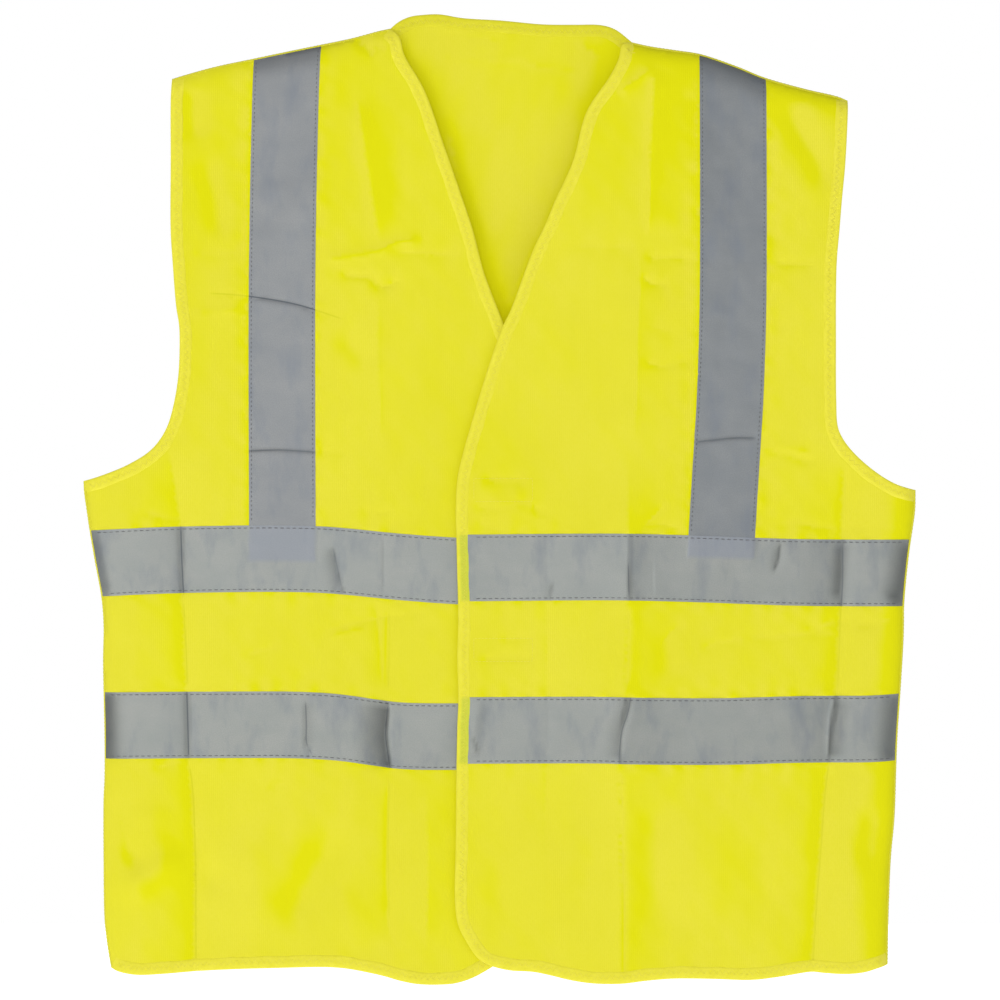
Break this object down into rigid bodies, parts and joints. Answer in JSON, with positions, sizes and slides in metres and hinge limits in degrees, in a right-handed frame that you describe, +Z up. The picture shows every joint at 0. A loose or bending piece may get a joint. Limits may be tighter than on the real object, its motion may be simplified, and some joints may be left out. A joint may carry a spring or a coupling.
{
  "type": "high visibility vest",
  "caption": "Sleeveless high visibility vest with a V neck, grey reflective tapes over shoulders and round the body, bound edges and an overlapping hook-and-loop front.",
  "frame": {"origin": "top edge of the back neck, at the middle of its inner face, where the vest hangs", "axes": "+Z up along the wearer's spine, front towards -Y, +X towards the wearer's left, which is the viewer's right"},
  "size_m": [0.6279, 0.0215, 0.7323],
  "materials": {
    "hi_vis_fabric": "matte fluorescent yellow warp knit",
    "edge_binding": "matte ribbed binding tape",
    "reflective_tape": "satin grey glass-bead tape",
    "seam_thread": "matte overlocked seam",
    "hook_tape": "matte moulded hooks",
    "loop_tape": "fuzzy loops"
  },
  "bodies": {
    "garment": {"back_panel": "hi_vis_fabric", "back_neck_binding": "edge_binding", "back_hem_binding": "edge_binding", "left_armhole_back_binding": "edge_binding", "right_armhole_back_binding": "edge_binding", "back_upper_band": "reflective_tape", "back_lower_band": "reflective_tape", "left_back_tape": "reflective_tape", "right_back_tape": "reflective_tape", "left_front_panel": "hi_vis_fabric", "right_front_panel": "hi_vis_fabric", "left_armhole_front_binding": "edge_binding", "right_armhole_front_binding": "edge_binding", "left_hem_binding": "edge_binding", "right_hem_binding": "edge_binding", "left_upper_band": "reflective_tape", "left_lower_band": "reflective_tape", "right_upper_band": "reflective_tape", "right_lower_band": "reflective_tape", "left_front_tape": "reflective_tape", "right_front_tape": "reflective_tape", "left_side_seam": "seam_thread", "right_side_seam": "seam_thread", "left_shoulder_seam": "seam_thread", "right_shoulder_seam": "seam_thread"},
    "left_flap": {"left_flap_panel": "hi_vis_fabric", "left_flap_binding": "edge_binding", "left_upper_band_flap": "reflective_tape", "left_lower_band_flap": "reflective_tape", "upper_hook_pad": "hook_tape", "lower_hook_pad": "hook_tape"},
    "right_flap": {"right_flap_panel": "hi_vis_fabric", "right_flap_binding": "edge_binding", "right_upper_band_flap": "reflective_tape", "right_lower_band_flap": "reflective_tape", "upper_loop_pad": "loop_tape", "lower_loop_pad": "loop_tape"}
  },
  "joints": [
    {"name": "left_front_open", "type": "hinge", "parent": "garment", "child": "left_flap", "pos_m": [0.13536, -0.0196, -0.37224], "axis": [-0.0867, 0, 0.9962], "range_deg": [0, 165]},
    {"name": "right_front_open", "type": "hinge", "parent": "garment", "child": "right_flap", "pos_m": [-0.09475, -0.0146, -0.36773], "axis": [-0.021, 0, -0.9998], "range_deg": [0, 165]}
  ],
  "couplings": [
    {"joint": "right_front_open", "follows": "left_front_open", "ratio": 0.65}
  ]
}
